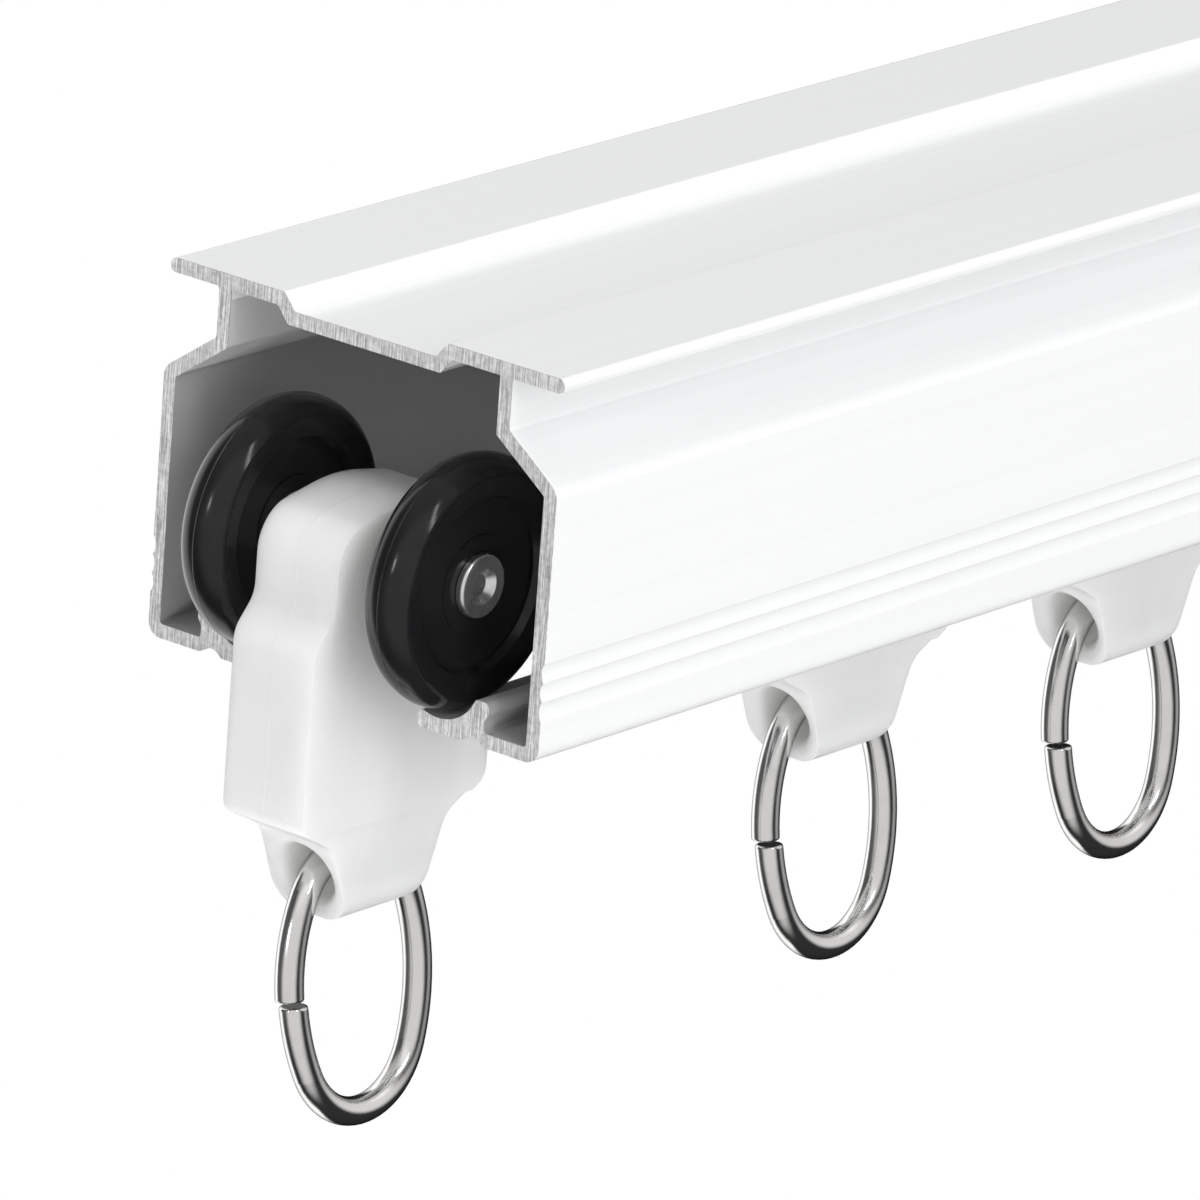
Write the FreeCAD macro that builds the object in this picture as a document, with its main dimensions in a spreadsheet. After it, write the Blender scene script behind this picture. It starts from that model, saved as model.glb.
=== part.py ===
import FreeCAD, Part
import os
import Sketcher

# Cut length of heavy curtain track with four roller carriers and their rings.
# Lengths are in mm and angles in degrees.
# X runs along the track, Y across it and Z upwards. The origin is on the floor of the
# recess in the track's top, halfway along, where a ceiling screw would go through.
# The sawn end faces -X. Each piece is first drawn about its own natural centre.

os.makedirs("parts", exist_ok=True)
doc = FreeCAD.newDocument("curtain_track")
sizes = doc.addObject("Spreadsheet::Sheet", "Sizes")

# Driving sizes
SIZES = [
    # the extruded track
    ("track_length", 200.0),
    ("track_height", 28.0),
    ("track_half_width", 18.0),
    ("wall", 1.05),
    ("neck_half_width", 13.4),
    ("neck_foot_level", 23.2),
    ("shoulder_level", 19.9),
    ("recess_top_half", 7.5),
    ("recess_floor_half", 6.5),
    ("recess_depth", 1.2),
    ("slot_half_width", 7.1),
    ("lip_height", 1.8),
    ("ridge_inner", 11.0),
    ("ridge_outer", 13.45),
    ("ridge_neck", 13.1),
    ("ridge_level", 3.3),
    ("bead_level", 2.5),
    ("bead_foot_level", 1.9),
    ("groove_radius", 3.6),
    ("groove_middle", 8.9),
    ("notch_radius", 1.2),
    ("notch_middle", 12.1),
    ("notch_depth", 0.5),
    ("flute_radius", 1.25),
    ("flute_depth", 0.22),
    ("flute_pitch", 1.4),
    ("flute_first_level", 3.9),
    ("flange_tip_round", 0.5),
    ("small_round", 0.3),
    ("lip_round", 0.45),
    ("ridge_round", 0.5),
    ("shoulder_round", 1.2),
    ("corner_round", 1.1),
    # the carrier's moulded body, measured from its axle
    ("axle_level", 10.55),
    ("body_half_thickness", 3.7),
    ("head_top", 4.95),
    ("head_side_level", 3.45),
    ("head_half_length", 7.95),
    ("head_foot_level", 2.5),
    ("foot_half_length", 9.9),
    ("foot_top_level", 4.7),
    ("foot_corner_level", 18.0),
    ("lug_top_half", 6.1),
    ("lug_top_level", 19.9),
    ("lug_foot_half", 3.7),
    ("lug_bottom", 26.3),
    ("lug_half_thickness", 3.4),
    ("lug_start_level", 18.7),
    ("crown_round", 14.0),
    ("head_round", 3.4),
    ("waist_round", 2.2),
    ("foot_corner_round", 1.5),
    ("lug_root_round", 2.4),
    ("lug_side_round", 2.4),
    ("cheek_spare", 1.0),
    ("body_edge_round", 1.2),
    ("boss_radius", 2.4),
    ("ring_hole_radius", 2.2),
    ("ring_hole_level", 22.8),
    ("ring_hole_mouth", 1.0),
    # wheels and rivet
    ("wheel_radius", 9.25),
    ("wheel_middle", 8.5),
    ("wheel_half_width", 2.0),
    ("tread_crown_radius", 2.4),
    ("rim_round", 0.45),
    ("step_radius", 6.5),
    ("step_depth", 0.35),
    ("dish_radius", 6.2),
    ("dish_depth", 0.9),
    ("hub_radius", 3.6),
    ("hub_rise", 0.1),
    ("shank_radius", 1.5),
    ("bore_clearance", 0.06),
    ("side_clearance", 0.06),
    ("head_radius", 2.35),
    ("head_thickness", 0.6),
    ("head_edge", 0.3),
    ("dimple_radius", 1.3),
    ("dimple_floor_radius", 0.8),
    ("dimple_depth", 0.55),
    # rings
    ("wire_radius", 1.05),
    ("ring_half_width", 6.75),
    ("ring_half_height", 9.75),
    ("ring_end_radius", 6.0),
    ("ring_rise", 1.05),
    ("ring_swing", 7.9),
    ("loose_end_shift", 0.35),
    ("gap_top", 0.25),
    ("gap_bottom", 0.65),
    ("wire_end_round", 0.2),
    # where the carriers stand along the track
    ("carrier_1_place", 2.35),
    ("carrier_2_place", 55.6),
    ("carrier_3_place", 90.3),
    ("carrier_4_place", 125.0),
]

# Sizes that follow from the others
FOLLOWING = [
    ("recess_step", "=sqrt((recess_top_half - recess_floor_half)^2 + recess_depth^2)"),
    ("recess_shift", "=wall * (recess_step - recess_top_half + recess_floor_half) / recess_depth"),
    ("shoulder_run", "=track_half_width - neck_half_width"),
    ("shoulder_drop", "=neck_foot_level - shoulder_level"),
    ("shoulder_slant", "=sqrt(shoulder_run^2 + shoulder_drop^2)"),
    ("shoulder_shift", "=wall * (shoulder_slant - shoulder_drop) / shoulder_run"),
    ("groove_level", "=wall + groove_radius"),
    ("groove_reach", "=sqrt(groove_radius^2 - (groove_level - ridge_level)^2)"),
    ("notch_drop", "=notch_radius - notch_depth"),
    ("flute_outset", "=track_half_width + flute_radius - flute_depth"),
    ("tread_edge_radius", "=wheel_radius - tread_crown_radius + sqrt(tread_crown_radius^2 - wheel_half_width^2)"),
    ("bore_radius", "=shank_radius + bore_clearance"),
    ("hub_face", "=wheel_half_width - dish_depth + hub_rise"),
    ("boss_length", "=2 * (wheel_middle - hub_face - side_clearance)"),
    ("head_seat", "=wheel_middle + hub_face + side_clearance"),
    ("head_end", "=head_seat + head_thickness"),
    ("dome_height", "=head_thickness - head_edge"),
    ("dome_radius", "=(head_radius^2 + dome_height^2) / (2 * dome_height)"),
    ("ring_middle", "=ring_rise - ring_half_height"),
    ("end_drop", "=ring_half_height - ring_end_radius"),
    ("side_bulge", "=ring_half_width - ring_end_radius"),
    ("side_reach", "=(end_drop^2 + side_bulge^2) / (2 * side_bulge)"),
    ("side_radius", "=ring_end_radius + side_reach"),
    ("side_centre", "=side_reach - side_bulge"),
    ("loose_bulge", "=side_bulge + loose_end_shift"),
    ("loose_reach", "=(end_drop^2 + loose_bulge^2) / (2 * loose_bulge)"),
    ("loose_radius", "=ring_end_radius + loose_reach"),
    ("loose_centre", "=loose_reach - loose_bulge"),
]

row = 1
for alias, value in SIZES:
    sizes.set("A%d" % row, alias)
    sizes.set("B%d" % row, str(value))
    sizes.setAlias("B%d" % row, alias)
    row += 1
for alias, formula in FOLLOWING:
    sizes.set("A%d" % row, alias)
    sizes.set("B%d" % row, formula)
    sizes.setAlias("B%d" % row, alias)
    row += 1
doc.recompute()


def size(name):
    """Value of one size in the sheet."""
    return float(sizes.get(name))


def bound(expression):
    """Expression with every sheet size written as a reference to the sheet."""
    out = ""
    word = ""
    for letter in expression + " ":
        if letter.isalnum() or letter == "_":
            word += letter
            continue
        if word and not word[0].isdigit() and word not in ("sqrt", "sin", "cos"):
            word = "Sizes." + word
        out += word + letter
        word = ""
    return out.strip()


def amount(expression):
    """Number that an expression of sheet sizes comes to."""
    return float(sizes.evalExpression(expression))


def new_body(label):
    """Empty body whose label names the file it is written to."""
    body = doc.addObject("PartDesign::Body", label)
    body.Label = label
    return body


def new_sketch(body, name, role):
    """Sketch on one of the body's own origin planes."""
    sketch = body.newObject("Sketcher::SketchObject", body.Label + "_" + name)
    plane = [item for item in body.Origin.OriginFeatures if item.Role == role][0]
    sketch.AttachmentSupport = (plane, [""])
    sketch.MapMode = "FlatFace"
    return sketch


def pin_points(sketch, points):
    """Tie points of the sketch to pairs of expressions, measured from its origin."""
    for element, end, across, up in points:
        for kind, axis, expression in (("DistanceX", -2, across), ("DistanceY", -1, up)):
            if expression == "0":
                sketch.addConstraint(Sketcher.Constraint("PointOnObject", element, end, axis))
                continue
            rule = Sketcher.Constraint(kind, -1, 1, element, end, amount(expression))
            index = sketch.addConstraint(rule)
            sketch.setExpression("Constraints[%d]" % index, bound(expression))


def add_outline(sketch, corners, arcs=None, closed=True):
    """Outline through corners, each a pair of expressions.

    arcs gives, for a corner's number, the expressions of the centre and radius of the arc
    from that corner to the next; every other side is straight.
    """
    arcs = arcs or {}
    points = [FreeCAD.Vector(amount(across), amount(up), 0) for across, up in corners]
    count = len(points)
    sides = []
    for i in range(count if closed else count - 1):
        start = points[i]
        end = points[(i + 1) % count]
        side = Part.LineSegment(start, end)
        if i in arcs:
            across, up, radius = arcs[i]
            centre = FreeCAD.Vector(amount(across), amount(up), 0)
            outward = ((start + end) * 0.5 - centre).normalize()
            side = Part.ArcOfCircle(start, centre + outward * amount(radius), end)
        index = sketch.addGeometry(side, False)
        first = sketch.getPoint(index, 1).distanceToPoint(start)
        second = sketch.getPoint(index, 2).distanceToPoint(start)
        sides.append((index, 1, 2) if first < second else (index, 2, 1))
        if i in arcs:
            rule = sketch.addConstraint(Sketcher.Constraint("Radius", index, amount(radius)))
            sketch.setExpression("Constraints[%d]" % rule, bound(radius))
    links = sides + sides[:1] if closed else sides
    for (index, start, end), (following, first, last) in zip(links, links[1:]):
        sketch.addConstraint(Sketcher.Constraint("Coincident", index, end, following, first))
    pins = []
    for (index, start, end), (across, up) in zip(sides, corners):
        pins.append((index, start, across, up))
    if not closed:
        pins.append((sides[-1][0], sides[-1][2], corners[-1][0], corners[-1][1]))
    pin_points(sketch, pins)


def add_circle(sketch, across, up, radius):
    """Circle whose centre and radius are expressions."""
    centre = FreeCAD.Vector(amount(across), amount(up), 0)
    index = sketch.addGeometry(Part.Circle(centre, FreeCAD.Vector(0, 0, 1), amount(radius)), False)
    rule = sketch.addConstraint(Sketcher.Constraint("Radius", index, amount(radius)))
    sketch.setExpression("Constraints[%d]" % rule, bound(radius))
    pin_points(sketch, [(index, 3, across, up)])


def pad(body, sketch, length, centred):
    """Raise a sketch by a length, to one side or half to each."""
    feature = body.newObject("PartDesign::Pad", sketch.Name + "_pad")
    feature.Profile = sketch
    feature.setExpression("Length", bound(length))
    if centred:
        feature.SideType = "Symmetric"
    sketch.Visibility = False
    doc.recompute()
    return feature


def cut(body, sketch, centred):
    """Cut a sketch right through the body, along its normal or to both sides."""
    before = body.Shape.Volume
    feature = body.newObject("PartDesign::Pocket", sketch.Name + "_cut")
    feature.Profile = sketch
    feature.Type = "ThroughAll"
    if centred:
        feature.SideType = "Symmetric"
    else:
        feature.Reversed = True
    sketch.Visibility = False
    doc.recompute()
    if body.Shape.Volume >= before:
        raise RuntimeError(sketch.Name + " cuts nothing")
    return feature


def turn(body, sketch, axis, angle="360"):
    """Turn a sketch about one of its own axes."""
    feature = body.newObject("PartDesign::Revolution", sketch.Name + "_turned")
    feature.Profile = sketch
    feature.ReferenceAxis = (sketch, [axis])
    feature.setExpression("Angle", bound(angle))
    sketch.Visibility = False
    doc.recompute()
    return feature


def round_edges(body, name, radius, places):
    """Round the edges of the body that pass through the places given."""
    base = body.Tip
    spots = [Part.Vertex(place) for place in places]
    picked = []
    for number, edge in enumerate(base.Shape.Edges, 1):
        if any(edge.distToShape(spot)[0] < 0.002 for spot in spots):
            picked.append("Edge%d" % number)
    feature = body.newObject("PartDesign::Fillet", body.Label + "_" + name)
    feature.Base = (base, picked)
    feature.setExpression("Radius", bound(radius))
    doc.recompute()
    return feature


def mirrored(corners):
    """The same corners on the other side of the middle plane, in turn from last to first."""
    return [("-(" + across + ")" if across != "0" else "0", up) for across, up in reversed(corners)]


def make_track():
    """Extruded track: flanges, neck, shoulders, side walls and grooved lips round a slot."""
    body = new_body("track")
    section = new_sketch(body, "section", "YZ_Plane")
    outside = [
        ("slot_half_width", "0"),
        ("track_half_width", "0"),
        ("track_half_width", "shoulder_level"),
        ("neck_half_width", "neck_foot_level"),
        ("neck_half_width", "track_height - wall"),
        ("track_half_width", "track_height - wall"),
        ("track_half_width", "track_height"),
        ("recess_top_half", "track_height"),
        ("recess_floor_half", "track_height - recess_depth"),
    ]
    inside = [
        ("recess_floor_half + recess_shift", "track_height - recess_depth - wall"),
        ("recess_top_half + recess_shift", "track_height - wall"),
        ("neck_half_width - wall", "track_height - wall"),
        ("neck_half_width - wall", "neck_foot_level - shoulder_shift"),
        ("track_half_width - wall", "shoulder_level - shoulder_shift"),
        ("track_half_width - wall", "wall"),
        ("ridge_neck", "wall"),
        ("ridge_neck", "bead_foot_level"),
        ("ridge_outer", "bead_level"),
        ("ridge_outer", "ridge_level"),
        ("ridge_inner", "ridge_level"),
        ("ridge_inner", "lip_height"),
        ("slot_half_width", "lip_height"),
    ]
    add_outline(section, outside + mirrored(outside) + mirrored(inside) + inside)
    pad(body, section, "track_length", False)

    grooves = new_sketch(body, "grooves", "YZ_Plane")
    notches = new_sketch(body, "notches", "YZ_Plane")
    for sign in ("", "-"):
        add_circle(grooves, sign + "groove_middle", "groove_level", "groove_radius")
        add_circle(notches, sign + "notch_middle", "-notch_drop", "notch_radius")
    cut(body, grooves, False)
    cut(body, notches, False)

    flutes = new_sketch(body, "flutes", "YZ_Plane")
    for sign in ("", "-"):
        for number in range(3):
            level = "flute_first_level + %d * flute_pitch" % number
            add_circle(flutes, sign + "flute_outset", level, "flute_radius")
    cut(body, flutes, False)

    def along(places):
        """Middle of each long edge whose section place is given, on both sides."""
        middle = size("track_length") / 2
        spots = []
        for across, up in places:
            for sign in (1, -1):
                spots.append(FreeCAD.Vector(middle, sign * amount(across), amount(up)))
        return spots

    round_edges(body, "tip_rounds", "flange_tip_round", along([
        ("track_half_width", "track_height"),
        ("track_half_width", "track_height - wall"),
    ]))
    round_edges(body, "shoulder_rounds", "shoulder_round", along([
        ("track_half_width", "shoulder_level"),
    ]))
    round_edges(body, "corner_rounds", "corner_round", along([
        ("track_half_width", "0"),
    ]))
    round_edges(body, "lip_rounds", "lip_round", along([
        ("slot_half_width", "0"),
        ("slot_half_width", "groove_level - sqrt(groove_radius^2 - (groove_middle - slot_half_width)^2)"),
    ]))
    round_edges(body, "ridge_rounds", "ridge_round", along([
        ("ridge_outer", "ridge_level"),
    ]))
    round_edges(body, "small_rounds", "small_round", along([
        ("groove_middle + groove_reach", "ridge_level"),
        ("ridge_neck", "bead_foot_level"),
        ("ridge_neck", "wall"),
        ("track_half_width - wall", "wall"),
        ("track_half_width - wall", "shoulder_level - shoulder_shift"),
        ("neck_half_width", "neck_foot_level"),
        ("neck_half_width - wall", "neck_foot_level - shoulder_shift"),
        ("neck_half_width", "track_height - wall"),
        ("recess_top_half", "track_height"),
        ("recess_floor_half", "track_height - recess_depth"),
        ("recess_top_half + recess_shift", "track_height - wall"),
        ("recess_floor_half + recess_shift", "track_height - recess_depth - wall"),
        ("notch_middle - sqrt(notch_radius^2 - notch_drop^2)", "0"),
        ("notch_middle + sqrt(notch_radius^2 - notch_drop^2)", "0"),
    ]))
    return body


def make_carrier_body(number):
    """Moulded carrier: arched head with bosses, waist, broad foot and the ring's lug."""
    body = new_body("carrier_body_%d" % number)
    side = new_sketch(body, "side", "XZ_Plane")
    half = [
        ("head_half_length", "head_side_level"),
        ("head_half_length", "-head_foot_level"),
        ("foot_half_length", "-foot_top_level"),
        ("foot_half_length", "-foot_corner_level"),
        ("lug_top_half", "-lug_top_level"),
        ("lug_foot_half", "-lug_bottom"),
    ]
    add_outline(side, [("0", "head_top")] + half + mirrored(half))
    pad(body, side, "2 * body_half_thickness", True)

    def ends(places):
        """Middle of each edge across the body whose side-view place is given, at both ends."""
        spots = []
        for across, up in places:
            for sign in (1, -1):
                spots.append(FreeCAD.Vector(sign * amount(across), 0, amount(up)))
        return spots

    round_edges(body, "crown", "crown_round", ends([("0", "head_top")]))
    round_edges(body, "head_rounds", "head_round", ends([("head_half_length", "head_side_level")]))
    round_edges(body, "waist_rounds", "waist_round", ends([
        ("head_half_length", "-head_foot_level"),
        ("foot_half_length", "-foot_top_level"),
    ]))
    round_edges(body, "foot_rounds", "foot_corner_round", ends([("foot_half_length", "-foot_corner_level")]))
    round_edges(body, "root_rounds", "lug_root_round", ends([("lug_top_half", "-lug_top_level")]))

    faces = []
    for sign in (1, -1):
        faces.append(FreeCAD.Vector(0, sign * size("body_half_thickness"), size("head_top")))
        faces.append(FreeCAD.Vector(0, sign * size("body_half_thickness"), -size("lug_bottom")))
    round_edges(body, "face_rounds", "body_edge_round", faces)

    cheeks = new_sketch(body, "cheeks", "YZ_Plane")
    cheek = [
        ("lug_half_thickness", "-lug_start_level"),
        ("lug_half_thickness", "lug_side_round - lug_bottom"),
        ("lug_half_thickness - lug_side_round", "-lug_bottom"),
        ("lug_half_thickness - lug_side_round", "-lug_bottom - cheek_spare"),
        ("body_half_thickness + cheek_spare", "-lug_bottom - cheek_spare"),
        ("body_half_thickness + cheek_spare", "-lug_start_level"),
    ]
    middle = ("lug_half_thickness - lug_side_round", "lug_side_round - lug_bottom", "lug_side_round")
    add_outline(cheeks, cheek, {1: middle})
    # read from last to first, the same arc leaves the fourth corner
    add_outline(cheeks, mirrored(cheek), {3: ("-(" + middle[0] + ")", middle[1], middle[2])})
    cut(body, cheeks, True)

    bosses = new_sketch(body, "bosses", "XZ_Plane")
    add_circle(bosses, "0", "0", "boss_radius")
    pad(body, bosses, "boss_length", True)
    bore = new_sketch(body, "bore", "XZ_Plane")
    add_circle(bore, "0", "0", "bore_radius")
    cut(body, bore, True)
    hole = new_sketch(body, "ring_hole", "YZ_Plane")
    add_circle(hole, "0", "-ring_hole_level", "ring_hole_radius")
    cut(body, hole, True)
    level = "ring_hole_level"
    flank = "lug_top_half - (%s - lug_top_level) * (lug_top_half - lug_foot_half) / (lug_bottom - lug_top_level)"
    mouths = []
    for sign in (1, -1):
        mouths.append(FreeCAD.Vector(sign * amount(flank % level), size("ring_hole_radius"), -size(level)))
    round_edges(body, "mouths", "ring_hole_mouth", mouths)
    return body


def make_wheel(label):
    """Crowned wheel about the Y axis, with a shallow stepped dish round the hub on both faces."""
    body = new_body(label)
    section = new_sketch(body, "section", "YZ_Plane")
    face = [
        ("wheel_half_width", "tread_edge_radius"),
        ("wheel_half_width - step_depth", "step_radius"),
        ("wheel_half_width - dish_depth", "dish_radius"),
        ("wheel_half_width - dish_depth", "hub_radius"),
        ("hub_face", "hub_radius"),
        ("hub_face", "bore_radius"),
    ]
    crown = ("0", "wheel_radius - tread_crown_radius", "tread_crown_radius")
    add_outline(section, face + mirrored(face), {2 * len(face) - 1: crown})
    turn(body, section, "H_Axis")
    rims = []
    for sign in (1, -1):
        rims.append(FreeCAD.Vector(0, sign * size("wheel_half_width"), size("tread_edge_radius")))
    round_edges(body, "rims", "rim_round", rims)
    return body


def make_rivet(number):
    """Axle rivet: shank, domed head on the far side and a closed-over head with a dimple."""
    body = new_body("axle_rivet_%d" % number)
    section = new_sketch(body, "section", "YZ_Plane")
    add_outline(section, [
        ("dimple_depth - head_end", "0"),
        ("dimple_depth - head_end", "dimple_floor_radius"),
        ("-head_end", "dimple_radius"),
        ("-head_end", "head_radius"),
        ("-head_seat", "head_radius"),
        ("-head_seat", "shank_radius"),
        ("head_seat", "shank_radius"),
        ("head_seat", "head_radius"),
        ("head_end - dome_height", "head_radius"),
        ("head_end", "0"),
    ], {8: ("head_end - dome_radius", "0", "dome_radius")})
    turn(body, section, "H_Axis")
    round_edges(body, "edge", "head_edge", [FreeCAD.Vector(0, -size("head_end"), size("head_radius"))])
    return body


def make_ring(number):
    """Oval split ring of round wire, hung from the hole's axis, one end a little proud at the cut."""
    body = new_body("ring_%d" % number)
    path = new_sketch(body, "path", "XZ_Plane")
    lean = "ring_end_radius * side_centre / side_reach"
    fall = "end_drop * (1 + ring_end_radius / side_reach)"
    loose_lean = "ring_end_radius * loose_centre / loose_reach"
    loose_fall = "end_drop * (1 + ring_end_radius / loose_reach)"
    fixed_end = ("side_centre - sqrt(side_radius^2 - gap_bottom^2)", "ring_middle - gap_bottom")
    loose_end = ("loose_centre - sqrt(loose_radius^2 - gap_top^2)", "ring_middle - gap_top")
    add_outline(path, [
        fixed_end,
        ("-" + lean, "ring_middle - " + fall),
        (lean, "ring_middle - " + fall),
        (lean, "ring_middle + " + fall),
        ("-" + loose_lean, "ring_middle + " + loose_fall),
        loose_end,
    ], {
        0: ("side_centre", "ring_middle", "side_radius"),
        1: ("0", "ring_middle - end_drop", "ring_end_radius"),
        2: ("-side_centre", "ring_middle", "side_radius"),
        3: ("0", "ring_middle + end_drop", "ring_end_radius"),
        4: ("loose_centre", "ring_middle", "loose_radius"),
    }, closed=False)
    wire = new_sketch(body, "wire", "XY_Plane")
    wire.setExpression("AttachmentOffset.Base.z", bound(fixed_end[1]))
    add_circle(wire, fixed_end[0], "0", "wire_radius")
    doc.recompute()
    pipe = body.newObject("PartDesign::AdditivePipe", body.Label + "_pipe")
    pipe.Profile = wire
    pipe.Spine = (path, ["Edge%d" % (side + 1) for side in range(path.GeometryCount)])
    path.Visibility = False
    wire.Visibility = False
    doc.recompute()
    ends = []
    for across, up in (fixed_end, loose_end):
        ends.append(FreeCAD.Vector(amount(across), size("wire_radius"), amount(up)))
    round_edges(body, "wire_ends", "wire_end_round", ends)
    return body


along = FreeCAD.Vector(1, 0, 0)
across = FreeCAD.Vector(0, 1, 0)
upward = FreeCAD.Vector(0, 0, 1)
still = FreeCAD.Rotation()

# from the middle of the sawn end's lowest line to the origin of the whole
sawn_end = FreeCAD.Vector(-size("track_length") / 2, 0, size("recess_depth") - size("track_height"))

track = make_track()
track.Placement = FreeCAD.Placement(sawn_end, still)
parts = [track]
for number in range(1, 5):
    place = along * size("carrier_%d_place" % number) + upward * size("axle_level")
    axle = FreeCAD.Placement(sawn_end + place, still)
    carrier = make_carrier_body(number)
    rivet = make_rivet(number)
    carrier.Placement = axle
    rivet.Placement = axle

    far_wheel = make_wheel("far_wheel_%d" % number)
    near_wheel = make_wheel("near_wheel_%d" % number)
    seat = FreeCAD.Placement(across * size("wheel_middle"), still)
    about = FreeCAD.Placement(FreeCAD.Vector(), FreeCAD.Rotation(upward, 180))
    far_wheel.Placement = axle * seat
    near_wheel.Placement = axle * about * seat

    ring = make_ring(number)
    hole = FreeCAD.Placement(upward * -size("ring_hole_level"), still)
    swing = FreeCAD.Placement(FreeCAD.Vector(), FreeCAD.Rotation(along, -size("ring_swing")))
    ring.Placement = axle * hole * swing
    parts += [carrier, rivet, far_wheel, near_wheel, ring]

doc.recompute()
for item in doc.Objects:
    if "Invalid" in item.State or "Error" in item.State:
        raise RuntimeError(item.Name + " did not build")
for piece in parts:
    if piece.Shape.isNull() or not piece.Shape.isValid() or len(piece.Shape.Solids) != 1:
        raise RuntimeError(piece.Label + " is not one sound solid")
for piece in parts:
    piece.Shape.exportStep("parts/" + piece.Label + ".step")
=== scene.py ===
"""Curtain track with roller carriers and split rings, dressed and lit as in the photograph."""
import logging
import math
from dataclasses import dataclass
from enum import Enum
from typing import Any, Optional, Union

import bmesh
import bpy
from mathutils import Matrix, Vector

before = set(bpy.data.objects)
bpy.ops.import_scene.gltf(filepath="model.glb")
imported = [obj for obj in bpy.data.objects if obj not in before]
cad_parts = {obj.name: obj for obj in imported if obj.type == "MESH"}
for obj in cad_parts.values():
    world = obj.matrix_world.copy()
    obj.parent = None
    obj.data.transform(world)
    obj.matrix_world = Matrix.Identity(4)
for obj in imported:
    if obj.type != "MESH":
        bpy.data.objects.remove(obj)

CARRIERS = 4
NOISE_ROUGHNESS = 0.55
LOG = logging.getLogger("curtain_track")

Colour = tuple[float, float, float]
Point = tuple[float, float, float]
Span = tuple[float, float]
WHITE = (1.0, 1.0, 1.0, 1.0)
MIDDLE: Point = (0.0, 0.0, 0.0)
SAWN_END: Point = (-0.1, 0.0, -0.02)


class Axis(Enum):
    """Axes of the part: along the track, across it and up."""

    ALONG = 0
    ACROSS = 1
    UP = 2


class Side(Enum):
    """Sides of a carrier as the camera sees them, by the names of its wheels."""

    NEAR = "near"
    FAR = "far"


def shaded(colour: Colour, share: float) -> Colour:
    """A colour made lighter or darker, up to white."""
    return tuple(min(1.0, part * share) for part in colour)


class Level:
    """A number that changes over a surface, kept as a node's output socket."""

    def __init__(self, graph: "Graph", socket: bpy.types.NodeSocket) -> None:
        """Keep the graph and the socket."""
        self.graph = graph
        self.socket = socket

    def _maths(self, operation: str, *terms: "Term") -> "Level":
        """Add a Math node.

        Args:
            operation: The node's operation.
            terms: Its inputs, in order.

        Returns:
            The node's result.
        """
        inputs = dict(enumerate(terms))
        return self.graph.level("ShaderNodeMath", {"operation": operation}, inputs)

    def __add__(self, other: "Term") -> "Level":
        """Sum."""
        return self._maths("ADD", self, other)

    def __radd__(self, other: "Term") -> "Level":
        """Sum, number first."""
        return self._maths("ADD", other, self)

    def __sub__(self, other: "Term") -> "Level":
        """Difference."""
        return self._maths("SUBTRACT", self, other)

    def __rsub__(self, other: "Term") -> "Level":
        """Difference, number first."""
        return self._maths("SUBTRACT", other, self)

    def __mul__(self, other: "Term") -> "Level":
        """Product."""
        return self._maths("MULTIPLY", self, other)

    def __rmul__(self, other: "Term") -> "Level":
        """Product, number first."""
        return self._maths("MULTIPLY", other, self)

    def __abs__(self) -> "Level":
        """Size without sign."""
        return self._maths("ABSOLUTE", self)

    def __gt__(self, other: "Term") -> "Level":
        """1 where this is greater, else 0."""
        return self._maths("GREATER_THAN", self, other)

    def __lt__(self, other: "Term") -> "Level":
        """1 where this is less, else 0."""
        return self._maths("LESS_THAN", self, other)

    def most(self, other: "Term") -> "Level":
        """The greater of the two."""
        return self._maths("MAXIMUM", self, other)

    def ramp(self, low: float, high: float, start: float = 0.0, end: float = 1.0) -> "Level":
        """Smooth step.

        Args:
            low: Value where the step begins.
            high: Value where it ends.
            start: Result below the step.
            end: Result above it.

        Returns:
            The stepped value.
        """
        settings = {"interpolation_type": "SMOOTHSTEP", "clamp": True}
        inputs = {"Value": self, "From Min": low, "From Max": high,
                  "To Min": start, "To Max": end}
        return self.graph.level("ShaderNodeMapRange", settings, inputs)


Term = Union[Level, int, float]
Paint = Union[Colour, bpy.types.NodeSocket]
Inputs = dict[Union[str, int], Any]


@dataclass(frozen=True)
class Grain:
    """A noise pattern: its cells per metre along each axis, and its octaves."""

    along: float
    across: float
    up: float
    octaves: float


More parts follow.
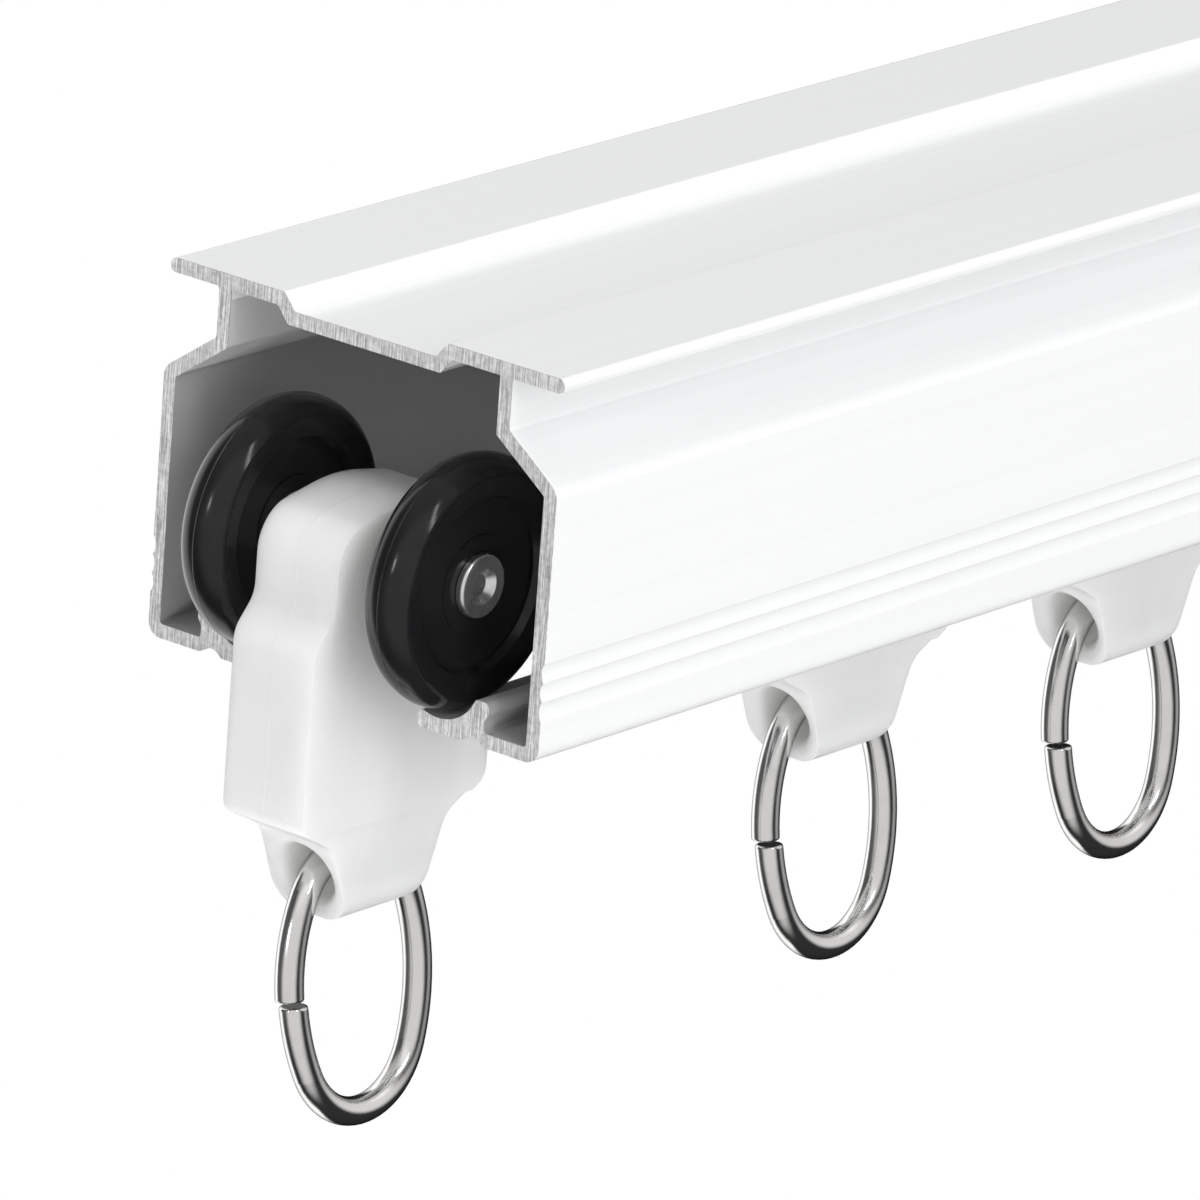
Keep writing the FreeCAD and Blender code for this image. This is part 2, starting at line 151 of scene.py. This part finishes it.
class Graph:
    """The node tree of one material or of the world."""

    def __init__(self, tree: bpy.types.NodeTree) -> None:
        """Start an empty tree."""
        self.tree = tree
        self.tree.nodes.clear()

    def feed(self, socket: bpy.types.NodeSocket, value: Any) -> None:
        """Link a socket, or set it.

        Args:
            socket: The socket to feed.
            value: A level or an output to link, or the socket's own value.
        """
        if isinstance(value, Level):
            value = value.socket
        if isinstance(value, bpy.types.NodeSocket):
            self.tree.links.new(value, socket)
        else:
            socket.default_value = value

    def node(self, kind: str, settings: Optional[dict[str, Any]] = None,
             inputs: Optional[Inputs] = None) -> bpy.types.Node:
        """Add a node.

        Args:
            kind: The node's type.
            settings: Its own properties, set before its sockets.
            inputs: Values or links for its sockets.

        Returns:
            The node.
        """
        made = self.tree.nodes.new(kind)
        for name, value in (settings or {}).items():
            setattr(made, name, value)
        for name, value in (inputs or {}).items():
            self.feed(made.inputs[name], value)
        return made

    def level(self, kind: str, settings: Optional[dict[str, Any]] = None,
              inputs: Optional[Inputs] = None, output: Union[str, int] = 0) -> Level:
        """Add a node and wrap one of its outputs.

        Args:
            kind: The node's type.
            settings: Its own properties.
            inputs: Values or links for its sockets.
            output: The output to wrap.

        Returns:
            The wrapped output.
        """
        return Level(self, self.node(kind, settings, inputs).outputs[output])

    def place(self) -> tuple[Level, Level, Level]:
        """Read the object's own coordinates.

        Returns:
            The place along, across and up, in metres.
        """
        spot = self.node("ShaderNodeTexCoord").outputs["Object"]
        parts = self.node("ShaderNodeSeparateXYZ", inputs={"Vector": spot})
        return tuple(Level(self, parts.outputs[axis.value]) for axis in Axis)

    def noise(self, grain: Grain) -> Level:
        """Noise whose cells may differ along the three axes.

        Args:
            grain: The pattern.

        Returns:
            Noise between 0 and 1.
        """
        spot = self.node("ShaderNodeTexCoord").outputs["Object"]
        cells = (grain.along, grain.across, grain.up)
        mapped = self.node("ShaderNodeMapping", inputs={"Vector": spot, "Scale": cells})
        inputs = {"Vector": mapped.outputs[0], "Scale": 1.0,
                  "Detail": grain.octaves, "Roughness": NOISE_ROUGHNESS}
        return self.level("ShaderNodeTexNoise", {"noise_dimensions": "3D"}, inputs)

    def blend(self, share: Term, first: Paint, second: Paint) -> bpy.types.NodeSocket:
        """Mix two colours.

        Args:
            share: How much of the second colour shows.
            first: Colour or colour link where share is 0.
            second: Colour or colour link where share is 1.

        Returns:
            The mixed colour.
        """
        made = self.node("ShaderNodeMix", {"data_type": "RGBA"}, {0: share})
        for number, paint in ((6, first), (7, second)):
            value = (*paint, 1.0) if isinstance(paint, tuple) else paint
            self.feed(made.inputs[number], value)
        return made.outputs[2]

    def bump(self, height: Level, depth: float) -> bpy.types.NodeSocket:
        """Small relief.

        Args:
            height: Relief, 1 at its highest.
            depth: Metres that a height of 1 stands for.

        Returns:
            The bent normal.
        """
        inputs = {"Strength": 1.0, "Distance": depth, "Height": height}
        return self.node("ShaderNodeBump", inputs=inputs).outputs[0]

    def along(self, ray: bpy.types.NodeSocket, direction: Vector) -> Level:
        """How far a ray points in a direction.

        Args:
            ray: The ray's direction.
            direction: The direction to set it against, of length 1.

        Returns:
            The cosine of the angle between them.
        """
        inputs = {0: ray, 1: tuple(direction)}
        return self.level("ShaderNodeVectorMath", {"operation": "DOT_PRODUCT"}, inputs, "Value")

    def rays(self) -> tuple[Level, Level]:
        """Tell the rays apart.

        Returns:
            1 for rays from the camera or through glass, and 1 for mirrored rays.
        """
        path = self.node("ShaderNodeLightPath").outputs
        seen = Level(self, path["Is Camera Ray"]).most(Level(self, path["Is Transmission Ray"]))
        return seen, Level(self, path["Is Glossy Ray"])


@dataclass(frozen=True)
class Finish:
    """A surface finish that makes its own material."""

    name: str

    def shader(self, graph: Graph) -> dict[str, Any]:
        """Inputs of the surface's shader, by socket name."""
        raise NotImplementedError

    def material(self) -> bpy.types.Material:
        """Make the material.

        Returns:
            The finished material.
        """
        made = bpy.data.materials.new(self.name)
        made.use_nodes = True
        graph = Graph(made.node_tree)
        surface = graph.node("ShaderNodeBsdfPrincipled", inputs=self.shader(graph))
        graph.node("ShaderNodeOutputMaterial", inputs={"Surface": surface.outputs[0]})
        return made


@dataclass(frozen=True)
class CoatedAluminium(Finish):
    """White coated extrusion, bare where it was sawn, with painted shade inside the hollow that is
    lighter in the pocket by the neck.
    """

    coat: Colour = (0.83, 0.835, 0.84)
    # The next two colours are painted shade for the hollow: darker deep inside where shade falls,
    # lighter in the pocket by the neck where more light gets in.
    inside_painted_shade: Colour = (0.40, 0.40, 0.405)
    pocket_painted_shade: Colour = (0.56, 0.56, 0.565)
    bare: Colour = (0.70, 0.70, 0.71)
    half_length: float = 0.100
    cut_skin: float = 0.00002
    chip_depth: float = 0.00020
    half_width: float = 0.018
    neck_half_width: float = 0.0134
    pocket_half_width: float = 0.0088
    wall: float = 0.00105
    shoulder_level: float = -0.0069
    roof_level: float = -0.0001
    floor_level: float = -0.0268
    die_lines: Grain = Grain(3.0, 1700.0, 1700.0, 2.0)
    orange_peel: Grain = Grain(900.0, 900.0, 900.0, 1.0)
    saw_marks: Grain = Grain(1.0, 9000.0, 350.0, 3.0)
    scores: Grain = Grain(1.0, 2500.0, 2500.0, 2.0)
    chips: Grain = Grain(1.0, 1500.0, 1500.0, 2.0)
    lined: Span = (0.35, 0.65)
    lined_shade: float = 0.985
    line_share: float = 0.6
    scratched: Span = (0.32, 0.68)
    saw_share: float = 0.75
    bright_shade: float = 1.45
    dull_shade: float = 0.55
    sawn_metal: float = 0.45
    coat_rough: float = 0.22
    inside_rough: float = 0.15
    sawn_rough: float = 0.1
    marks_rough: float = 0.3
    saw_relief: float = 6.0
    relief: float = 0.000004

    def hollow(self, across: Level, up: Level) -> Level:
        """Find the inside of the track.

        Args:
            across: Place across the track.
            up: Height.

        Returns:
            1 on the inner faces, else 0.
        """
        width = abs(across)
        half_wall = self.wall / 2
        low = (width < self.half_width - half_wall) * (up < self.shoulder_level)
        high = width < self.neck_half_width - half_wall
        under_roof = (up < self.roof_level - half_wall) * (up > self.floor_level + half_wall)
        return low.most(high) * under_roof

    def shader(self, graph: Graph) -> dict[str, Any]:
        """Work out the coat, the painted shade inside the hollow and the sawn ends.

        Args:
            graph: The material's node tree.

        Returns:
            Inputs of the surface's shader, by socket name.
        """
        along, across, up = graph.place()
        hollow = self.hollow(across, up)
        pocket_floor = self.shoulder_level + self.wall
        in_pocket = (abs(across) > self.pocket_half_width) * (up > pocket_floor)
        sawn = abs(along) > self.half_length - self.cut_skin
        chipped = abs(along) > self.half_length - graph.noise(self.chips) * self.chip_depth
        lines = graph.noise(self.die_lines)
        peel = graph.noise(self.orange_peel)
        marks = graph.noise(self.saw_marks)
        scratches = marks * self.saw_share + graph.noise(self.scores) * (1 - self.saw_share)
        bright = shaded(self.bare, self.bright_shade)
        dull = shaded(self.bare, self.dull_shade)
        lined = shaded(self.coat, self.lined_shade)
        coated = graph.blend(lines.ramp(*self.lined), self.coat, lined)
        # Painted shade inside the hollow, lighter in the pocket by the neck.
        painted_hollow_shade = graph.blend(in_pocket, self.inside_painted_shade, self.pocket_painted_shade)
        walls = graph.blend(chipped, graph.blend(hollow, coated, painted_hollow_shade), dull)
        end = graph.blend(scratches.ramp(*self.scratched), dull, bright)
        rough = hollow * self.inside_rough + sawn * self.sawn_rough + self.coat_rough
        smooth = lines * self.line_share + peel * (1 - self.line_share)
        height = smooth * (1 - sawn) + marks * sawn * self.saw_relief
        return {
            "Base Color": graph.blend(sawn, walls, end),
            "Metallic": sawn * self.sawn_metal,
            "Roughness": rough + marks * sawn * self.marks_rough,
            "Normal": graph.bump(height, self.relief),
        }


@dataclass(frozen=True)
class MilkyNylon(Finish):
    """Natural nylon: milky, faintly cloudy and satin, with the mould's parting line."""

    body: Colour = (0.73, 0.735, 0.73)
    cloud: Colour = (0.70, 0.705, 0.70)
    haze: Grain = Grain(160.0, 160.0, 70.0, 3.0)
    skin: Grain = Grain(1400.0, 1400.0, 1400.0, 2.0)
    clouded: Span = (0.4, 0.7)
    body_rough: float = 0.24
    skin_rough: float = 0.14
    milkiness: float = 0.8
    glow_through: Colour = (1.0, 1.0, 0.95)
    depth: float = 0.0050
    parting_half: float = 0.00010
    skin_relief: float = 0.4
    haze_relief: float = 0.6
    parting_relief: float = 0.8
    relief: float = 0.00003

    def shader(self, graph: Graph) -> dict[str, Any]:
        """Work out the clouds, the skin and the parting line.

        Args:
            graph: The material's node tree.

        Returns:
            Inputs of the surface's shader, by socket name.
        """
        _, across, _ = graph.place()
        parting = abs(across).ramp(0.0, self.parting_half, 1.0, 0.0)
        haze = graph.noise(self.haze)
        skin = graph.noise(self.skin)
        height = skin * self.skin_relief + haze * self.haze_relief + parting * self.parting_relief
        return {
            "Base Color": graph.blend(haze.ramp(*self.clouded), self.body, self.cloud),
            "Roughness": skin * self.skin_rough + self.body_rough,
            "Subsurface Weight": self.milkiness,
            "Subsurface Radius": self.glow_through,
            "Subsurface Scale": self.depth,
            "Normal": graph.bump(height, self.relief),
        }


@dataclass(frozen=True)
class BlackPlastic(Finish):
    """Hard black moulding, polished by the mould, with a parting line round the tread."""

    body: Colour = (0.009, 0.009, 0.010)
    smeared: Colour = (0.012, 0.012, 0.013)
    smears: Grain = Grain(260.0, 260.0, 260.0, 3.0)
    pores: Grain = Grain(5000.0, 5000.0, 5000.0, 1.0)
    smudged: Span = (0.4, 0.7)
    body_rough: float = 0.10
    smear_rough: float = 0.10
    mirror: float = 0.24
    tread_middle: float = 0.0085
    parting_half: float = 0.00006
    pore_relief: float = 0.03
    relief: float = 0.00005

    def shader(self, graph: Graph) -> dict[str, Any]:
        """Work out the smears and the parting line.

        Args:
            graph: The material's node tree.

        Returns:
            Inputs of the surface's shader, by socket name.
        """
        _, across, _ = graph.place()
        off_middle = abs(abs(across) - self.tread_middle)
        parting = off_middle.ramp(0.0, self.parting_half, 1.0, 0.0)
        smear = graph.noise(self.smears)
        height = graph.noise(self.pores) * self.pore_relief + parting
        return {
            "Base Color": graph.blend(smear.ramp(*self.smudged), self.body, self.smeared),
            "Roughness": smear * self.smear_rough + self.body_rough,
            "Specular IOR Level": self.mirror,
            "Normal": graph.bump(height, self.relief),
        }


@dataclass(frozen=True)
class PlatedSteel(Finish):
    """Plated steel with worn patches and fine scratches."""

    body: Colour
    worn: Colour
    wear: float
    mirror: float
    gloss: float
    rim_shade: float
    patches: Grain = Grain(420.0, 420.0, 420.0, 3.0)
    scratches: Grain = Grain(2600.0, 2600.0, 780.0, 3.0)
    rubbed: Span = (0.45, 0.75)
    scratch_rough: float = 0.12
    relief: float = 0.000003

    def shader(self, graph: Graph) -> dict[str, Any]:
        """Work out the worn patches and the scratches.

        Args:
            graph: The material's node tree.

        Returns:
            Inputs of the surface's shader, by socket name.
        """
        patches = graph.noise(self.patches).ramp(*self.rubbed)
        scratches = graph.noise(self.scratches)
        return {
            "Base Color": graph.blend(patches * self.wear, self.body, self.worn),
            "Metallic": self.mirror,
            "Specular Tint": (self.rim_shade, self.rim_shade, self.rim_shade, 1.0),
            "Roughness": scratches * self.scratch_rough + self.gloss,
            "Normal": graph.bump(scratches, self.relief),
        }


class Paintbox:
    """The materials, each made once."""

    def __init__(self) -> None:
        """Start with no material made."""
        self.made: dict[str, bpy.types.Material] = {}

    def coat(self, node: str, finish: Finish) -> None:
        """Give a piece of the frame one finish.

        Args:
            node: The piece's name.
            finish: Its finish.
        """
        if finish.name not in self.made:
            self.made[finish.name] = finish.material()
        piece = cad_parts[node]
        piece.data.materials.clear()
        piece.data.materials.append(self.made[finish.name])
        LOG.info("%s: %s", node, finish.name)


@dataclass(frozen=True)
class TrackLength:
    """The length of track."""

    finish: Finish = CoatedAluminium("coated_aluminium")

    def dress(self, paint: Paintbox) -> None:
        """Coat the track."""
        paint.coat("track", self.finish)


@dataclass(frozen=True)
class RollerCarrier:
    """One carrier: body, two wheels, rivet and ring."""

    number: int
    nylon: Finish = MilkyNylon("milky_nylon")
    plastic: Finish = BlackPlastic("black_plastic")
    zinc: Finish = PlatedSteel("zinc_rivet", body=(0.72, 0.72, 0.73), worn=(0.40, 0.40, 0.41),
                               wear=0.8, mirror=0.95, gloss=0.20, rim_shade=1.0)
    nickel: Finish = PlatedSteel("nickel_ring", body=(0.74, 0.73, 0.72), worn=(0.62, 0.61, 0.60),
                                 wear=0.5, mirror=1.0, gloss=0.09, rim_shade=0.25)

    def dress(self, paint: Paintbox) -> None:
        """Give each piece of the carrier its finish.

        Args:
            paint: The materials.
        """
        paint.coat("carrier_body_%d" % self.number, self.nylon)
        for side in Side:
            paint.coat("%s_wheel_%d" % (side.value, self.number), self.plastic)
        paint.coat("axle_rivet_%d" % self.number, self.zinc)
        paint.coat("ring_%d" % self.number, self.nickel)


@dataclass(frozen=True)
class Softbox:
    """A soft lamp that faces a point; mirrors may show it or not."""

    name: str
    place: Point
    aim: Point
    width: float
    height: float
    power: float
    mirrored: bool

    def hang(self) -> None:
        """Add the lamp to the scene."""
        lamp = bpy.data.lights.new(self.name, "AREA")
        lamp.shape = "RECTANGLE"
        lamp.size = self.width
        lamp.size_y = self.height
        lamp.energy = self.power
        holder = bpy.data.objects.new(self.name, lamp)
        holder.location = self.place
        facing = Vector(self.aim) - Vector(self.place)
        holder.rotation_mode = "QUATERNION"
        holder.rotation_quaternion = facing.to_track_quat("-Z", "Y")
        holder.visible_glossy = self.mirrored
        bpy.context.scene.collection.objects.link(holder)
        LOG.info("%s hung", self.name)


@dataclass(frozen=True)
class Lobe:
    """A soft light as a mirror sees it: its strength, and the cosines between which it fades in."""

    strength: float
    outer: float
    inner: float

    def seen(self, cosine: Level) -> Level:
        """Its brightness for a ray at this cosine from its middle."""
        return cosine.ramp(self.outer, self.inner) * self.strength


@dataclass(frozen=True)
class Glow:
    """How bright the dark studio looks in a mirror, by direction from the object."""

    base: float = 0.035
    camera_side: Lobe = Lobe(0.78, 0.34, 0.80)
    left_side: Lobe = Lobe(0.08, 0.70, 0.97)
    overhead: Lobe = Lobe(0.55, 0.45, 0.9)
    right_above: Lobe = Lobe(0.85, 0.70, 0.92)
    right_above_way: Point = (0.72, -0.42, 0.40)
    grazing: Lobe = Lobe(1.6, 0.15, 0.45)
    grazing_left: float = 0.15
    outline_outer: float = 0.85
    outline_inner: float = 0.97
    outline_share: float = 0.6

    def strength(self, graph: Graph, ray: bpy.types.NodeSocket,
                 axes: tuple[Vector, Vector, Vector]) -> Level:
        """Brightness of the surroundings as a mirror sees them.

        Args:
            graph: The graph of the world or of the floor.
            ray: The mirrored ray's direction.
            axes: The camera's forward, right and up directions.

        Returns:
            The strength for the ray's direction.
        """
        forward, right, _ = axes
        back = graph.along(ray, Vector((-forward.x, -forward.y, 0.0)).normalized())
        left = graph.along(ray, -right)
        right_above = graph.along(ray, Vector(self.right_above_way).normalized())
        above = graph.along(ray, Vector((0.0, 0.0, 1.0)))
        ahead = graph.along(ray, forward)
        lit = self.camera_side.seen(back) + self.left_side.seen(left)
        lit = lit + self.right_above.seen(right_above) + self.overhead.seen(above)
        outline = ahead.ramp(self.outline_outer, self.outline_inner, 1.0, self.outline_share)
        edge = self.grazing.seen(ahead) * outline * left.ramp(0.0, self.grazing_left)
        return lit + edge + self.base


@dataclass(frozen=True)
class Studio:
    """Camera, lamps, white surroundings and floor."""

    azimuth: float = 51.6471
    elevation: float = 18.3001
    roll: float = 4.2537
    eye: Point = (-0.758334, -0.543423, 0.264170)
    view_angle: float = 5.3347
    sensor: float = 36.0
    floor_level: float = -0.60
    floor_half: float = 6.0
    floor_colour: Colour = (0.8, 0.8, 0.8)
    ambient: float = 0.60
    glow: Glow = Glow()
    boxes: tuple[Softbox, ...] = (
        Softbox("key_lamp", (-0.5, -1.8, 0.85), MIDDLE, 1.8, 1.4, 15.5, False),
        Softbox("top_lamp", (0.2, 0.3, 1.6), MIDDLE, 1.6, 1.0, 12.0, False),
        Softbox("left_lamp", (-1.7, 0.1, 0.5), SAWN_END, 0.10, 0.3, 2.2, True),
        Softbox("streak_lamp", (-0.45, -1.27, 1.33), SAWN_END, 0.14, 0.9, 4.5, True),
        Softbox("low_lamp", (-1.4, -0.9, -0.5), SAWN_END, 0.7, 0.5, 12.0, False),
    )

    def axes(self) -> tuple[Vector, Vector, Vector]:
        """Turn the camera's angles into directions.

        Returns:
            The camera's forward, right and up directions.
        """
        around, down, tilt = map(math.radians, (self.azimuth, self.elevation, self.roll))
        forward = Vector((math.sin(around) * math.cos(down),
                          math.cos(around) * math.cos(down), -math.sin(down)))
        level = Vector((math.cos(around), -math.sin(around), 0.0))
        upright = level.cross(forward)
        right = level * math.cos(tilt) + upright * math.sin(tilt)
        top = upright * math.cos(tilt) - level * math.sin(tilt)
        return forward, right, top

    def add_camera(self) -> None:
        """Place the camera at the photograph's angle."""
        forward, right, top = self.axes()
        camera = bpy.data.cameras.new("photo_camera")
        camera.sensor_width = self.sensor
        camera.lens = self.sensor / 2 / math.tan(math.radians(self.view_angle) / 2)
        holder = bpy.data.objects.new("photo_camera", camera)
        turn = Matrix((right, top, -forward)).transposed()
        holder.matrix_world = Matrix.Translation(self.eye) @ turn.to_4x4()
        bpy.context.scene.collection.objects.link(holder)
        bpy.context.scene.camera = holder

    def add_world(self) -> None:
        """Surroundings: white to the camera, the glow in mirrors, an even light on the rest."""
        world = bpy.data.worlds.new("studio_air")
        world.use_nodes = True
        graph = Graph(world.node_tree)
        seen, mirrored = graph.rays()
        towards = graph.node("ShaderNodeTexCoord").outputs["Generated"]
        mirror_image = self.glow.strength(graph, towards, self.axes())
        unseen = (1.0 - mirrored) * self.ambient + mirrored * mirror_image
        strength = (1.0 - seen) * unseen + seen
        air = graph.node("ShaderNodeBackground", inputs={"Color": WHITE, "Strength": strength})
        graph.node("ShaderNodeOutputWorld", inputs={"Surface": air.outputs[0]})
        bpy.context.scene.world = world

    def floor_material(self) -> bpy.types.Material:
        """Make the floor's material: pale, but white to the camera and the glow in mirrors.

        Returns:
            The floor's material.
        """
        made = bpy.data.materials.new("pale_floor")
        made.use_nodes = True
        graph = Graph(made.node_tree)
        seen, mirrored = graph.rays()
        backwards = graph.node("ShaderNodeNewGeometry").outputs["Incoming"]
        flip = {0: backwards, "Scale": -1.0}
        towards = graph.node("ShaderNodeVectorMath", {"operation": "SCALE"}, flip).outputs[0]
        mirror_image = self.glow.strength(graph, towards, self.axes())
        strength = seen + mirrored * mirror_image
        white = graph.node("ShaderNodeEmission", inputs={"Strength": strength})
        pale = graph.node("ShaderNodeBsdfDiffuse", inputs={"Color": (*self.floor_colour, 1.0)})
        inputs = {0: seen.most(mirrored), 1: pale.outputs[0], 2: white.outputs[0]}
        both = graph.node("ShaderNodeMixShader", inputs=inputs)
        graph.node("ShaderNodeOutputMaterial", inputs={"Surface": both.outputs[0]})
        return made

    def add_floor(self) -> None:
        """Lay the floor well below the hanging track."""
        shape = bmesh.new()
        bmesh.ops.create_grid(shape, x_segments=1, y_segments=1, size=self.floor_half)
        bmesh.ops.translate(shape, verts=shape.verts, vec=(0.0, 0.0, self.floor_level))
        mesh = bpy.data.meshes.new("floor")
        shape.to_mesh(mesh)
        shape.free()
        mesh.materials.append(self.floor_material())
        floor = bpy.data.objects.new("floor", mesh)
        bpy.context.scene.collection.objects.link(floor)
        LOG.info("floor laid")

    def set_up(self) -> None:
        """Build the whole studio."""
        bpy.context.scene.view_settings.view_transform = "Standard"
        self.add_camera()
        self.add_world()
        self.add_floor()
        for box in self.boxes:
            box.hang()


def main() -> None:
    """Dress the track and its carriers, and set up the studio."""
    logging.basicConfig(level=logging.INFO, format="%(name)s: %(message)s")
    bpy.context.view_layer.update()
    paint = Paintbox()
    TrackLength().dress(paint)
    for number in range(1, CARRIERS + 1):
        RollerCarrier(number).dress(paint)
    Studio().set_up()


if __name__ == "__main__":
    main()
